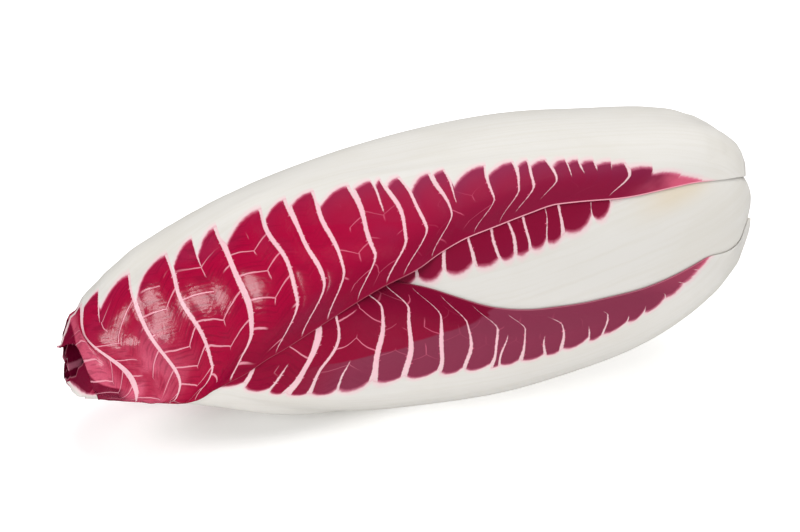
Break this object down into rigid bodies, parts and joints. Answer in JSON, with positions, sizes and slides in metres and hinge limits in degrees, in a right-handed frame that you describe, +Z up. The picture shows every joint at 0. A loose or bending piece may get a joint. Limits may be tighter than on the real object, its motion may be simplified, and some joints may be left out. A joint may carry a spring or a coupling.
{
  "type": "treviso radicchio head",
  "caption": "Long pointed head of red chicory lying on its side, white-ribbed crimson leaves wrapped over each other from a short cut stem at one end to a closed tip at the other.",
  "frame": {"origin": "on the surface the head lies on, under the middle of its bounding box", "axes": "+X along the head towards the cut stem (leaf tips point to -X), +Y to the back, +Z up"},
  "size_m": [0.2134, 0.0848, 0.0794],
  "materials": {
    "outer_leaf": "satin crimson leaf with a broad smooth cream-white rib and pale pink veins",
    "inner_leaf": "satin crimson leaf with a cream-white rib, a little paler than the outer leaves",
    "heart_leaf": "satin, pale pink-white young leaves",
    "stem": "matt cut face, cream with light browning at its rim"
  },
  "bodies": {
    "root": {"leaf_01": "outer_leaf", "leaf_02": "outer_leaf", "leaf_03": "outer_leaf", "leaf_04": "outer_leaf", "leaf_05": "outer_leaf", "leaf_06": "inner_leaf", "leaf_07": "inner_leaf", "leaf_08": "inner_leaf", "leaf_09": "inner_leaf", "leaf_10": "inner_leaf", "leaf_11": "inner_leaf", "leaf_12": "inner_leaf", "leaf_13": "inner_leaf", "heart": "heart_leaf", "stem": "stem"}
  },
  "joints": []
}
